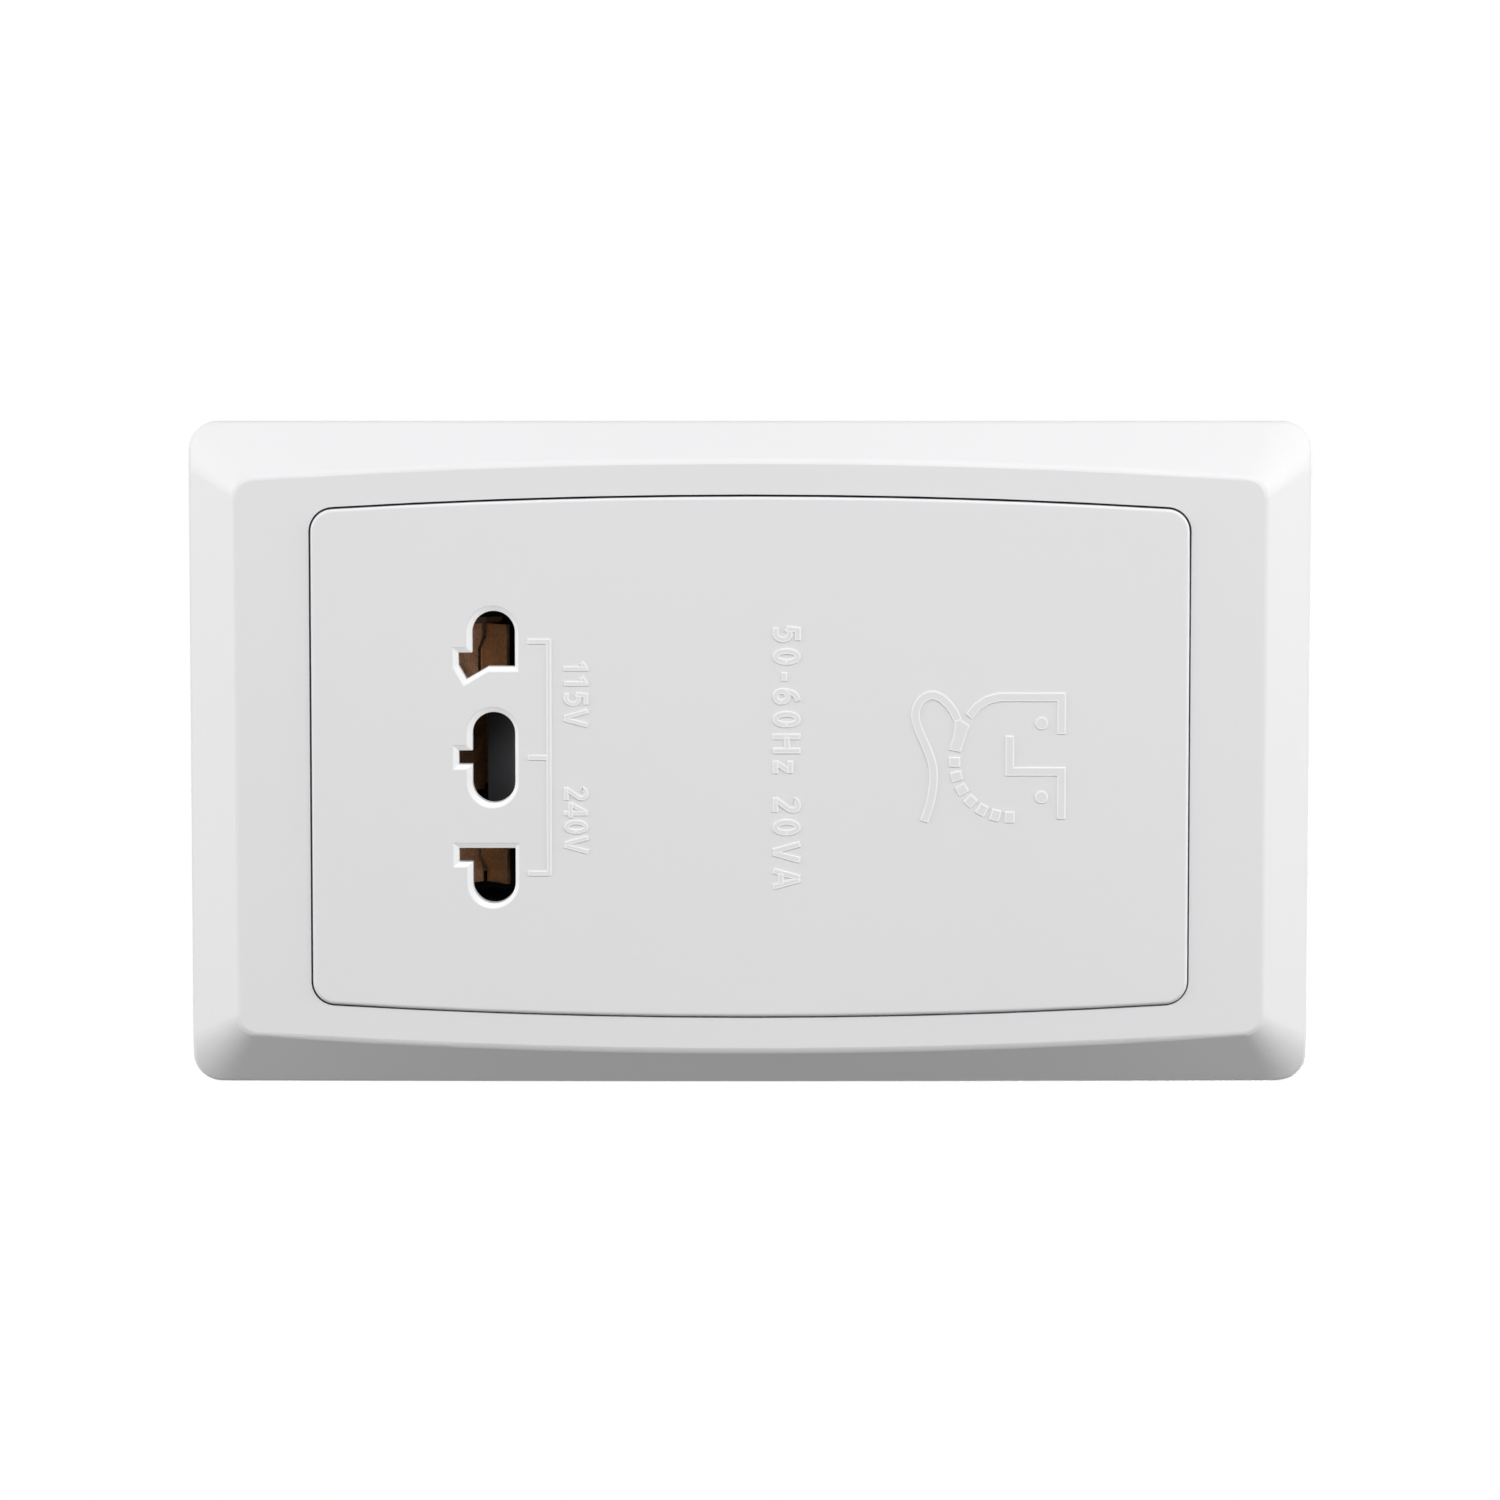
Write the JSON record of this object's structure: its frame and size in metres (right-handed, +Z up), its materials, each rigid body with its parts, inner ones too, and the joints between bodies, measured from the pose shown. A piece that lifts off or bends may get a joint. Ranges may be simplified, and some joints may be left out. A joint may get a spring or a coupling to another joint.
{
  "type": "shaver socket",
  "caption": "White bevelled wall plate with a bowed panel and multi-standard pin apertures, a sprung start slide and an isolating transformer behind it.",
  "frame": {"origin": "middle of the plate on the wall plane, halfway between the two fixing holes", "axes": "+X to the right as seen from the room, +Y into the wall, +Z up; the lettering is upright and the apertures are at the lower end"},
  "size_m": [0.0864, 0.0464, 0.146],
  "materials": {
    "white_plastic": "moulded satin white",
    "inner_white_plastic": "moulded matt white",
    "black_plastic": "moulded matt black",
    "grey_plastic": "moulded dark grey",
    "plunger_plastic": "moulded red",
    "bobbin_plastic": "moulded natural",
    "contact_brass": "bent strip, dulled",
    "terminal_brass": "turned, bright",
    "screw_steel": "zinc plated",
    "spring_steel": "drawn wire",
    "core_steel": "stamped sheets, stacked",
    "winding_copper": "wound wire under yellow tape",
    "lead_brown": "insulated wire",
    "lead_blue": "insulated wire",
    "lead_white": "insulated wire"
  },
  "bodies": {
    "base": {"surround_frame": "white_plastic", "front_panel": "white_plastic", "mounting_plate": "inner_white_plastic", "rear_housing": "inner_white_plastic", "housing_screws": "screw_steel", "contact_carrier": "black_plastic", "carrier_screws": "screw_steel", "contact_cover": "black_plastic", "contact_115": "contact_brass", "contact_common": "contact_brass", "contact_240": "contact_brass", "slide_spring": "spring_steel", "switch_body": "black_plastic", "switch_tags": "contact_brass", "transformer_core": "core_steel", "coil_bobbin": "bobbin_plastic", "primary_winding": "winding_copper", "secondary_winding": "winding_copper", "bobbin_pins": "contact_brass", "core_bolts": "screw_steel", "thermal_cutout": "black_plastic", "lead_live": "lead_brown", "lead_switched": "lead_brown", "lead_cutout": "lead_brown", "lead_neutral": "lead_blue", "lead_115": "lead_white", "lead_common": "lead_white", "lead_240": "lead_white", "terminal_block": "inner_white_plastic", "terminal_live": "terminal_brass", "terminal_neutral": "terminal_brass", "terminal_earth": "terminal_brass", "terminal_screws": "screw_steel"},
    "slide": {"start_slide": "grey_plastic"},
    "plunger": {"switch_plunger": "plunger_plastic"}
  },
  "joints": [
    {"name": "slide_start", "type": "slide", "parent": "base", "child": "slide", "axis": [0, 0, 1], "range_m": [0, 0.0036], "stiffness_N_per_m": 250, "springref_m": -0.002, "deforming": ["slide_spring"]},
    {"name": "switch_press", "type": "slide", "parent": "base", "child": "plunger", "axis": [0, 1, 0], "range_m": [0, 0.0011]}
  ],
  "couplings": [
    {"joint": "switch_press", "follows": "slide_start", "ratio": 0.3}
  ]
}
